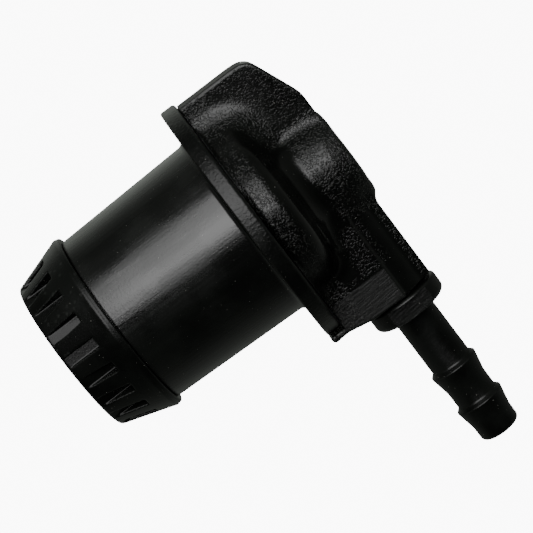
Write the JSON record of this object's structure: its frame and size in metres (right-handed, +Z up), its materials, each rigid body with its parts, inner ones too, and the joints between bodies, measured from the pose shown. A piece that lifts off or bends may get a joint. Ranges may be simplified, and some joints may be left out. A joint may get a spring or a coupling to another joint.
{
  "type": "fuel tank vent valve",
  "caption": "Fuel tank vent valve with a slotted end cap, flanged float housing, moulded head and barbed hose outlet; float and relief disc move inside.",
  "frame": {"origin": "centre of the slotted end cap's flat underside, on the valve's axis", "axes": "+Z up along the valve's axis towards the head, +X along the hose outlet, +Y across the valve"},
  "size_m": [0.0835, 0.0496, 0.0618],
  "materials": {
    "cap_black": "dark satin moulded plastic",
    "housing_black": "dark satin moulded plastic with fine axial lines",
    "head_black": "dark moulded plastic, spark-textured on the flanks and satin elsewhere",
    "nipple_black": "smooth dark moulded plastic",
    "rubber_black": "matt black rubber",
    "natural_acetal": "natural white acetal",
    "seal_rubber": "brown fuel-resistant rubber",
    "spring_steel": "bright spring steel"
  },
  "bodies": {
    "valve": {"slotted_end_cap": "cap_black", "float_housing": "housing_black", "head_cover": "head_black", "outlet_nipple": "nipple_black", "nipple_o_ring": "rubber_black", "cover_o_ring": "rubber_black", "vent_seat": "natural_acetal", "seat_o_ring": "rubber_black", "float_spring": "spring_steel", "relief_spring": "spring_steel", "relief_guide": "natural_acetal"},
    "float": {"float_body": "natural_acetal", "float_seal": "seal_rubber", "float_seal_clip": "spring_steel"},
    "relief": {"relief_disc": "natural_acetal", "relief_seal": "rubber_black", "vacuum_umbrella": "seal_rubber"}
  },
  "joints": [
    {"name": "float_lift", "type": "slide", "parent": "valve", "child": "float", "axis": [0, 0, 1], "range_m": [0, 0.005], "stiffness_N_per_m": 8, "springref_m": 0.003, "deforming": ["float_spring"]},
    {"name": "relief_lift", "type": "slide", "parent": "valve", "child": "relief", "axis": [0, 0, 1], "range_m": [0, 0.0015], "stiffness_N_per_m": 200, "springref_m": -0.003, "deforming": ["relief_spring"]}
  ]
}
